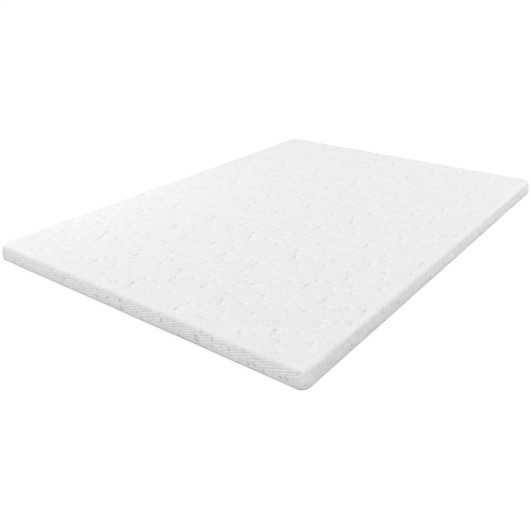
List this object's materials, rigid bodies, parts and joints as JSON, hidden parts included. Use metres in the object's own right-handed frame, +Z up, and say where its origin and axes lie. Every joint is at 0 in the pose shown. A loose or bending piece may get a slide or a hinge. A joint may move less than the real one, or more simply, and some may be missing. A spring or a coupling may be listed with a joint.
{
  "type": "mattress topper",
  "caption": "A soft foam mattress topper in a white knitted cover with a small leaf pattern, with rounded edges and a flat underside.",
  "frame": {"origin": "the middle of the underside, at the height of the surface the topper lies on", "axes": "+Z is up through the thickness, +Y runs along the long side and +X across the width"},
  "size_m": [1.35, 1.9, 0.064],
  "materials": {
    "white_knit": "matt white knitted cloth"
  },
  "bodies": {
    "root": {"topper": "white_knit"}
  },
  "joints": []
}
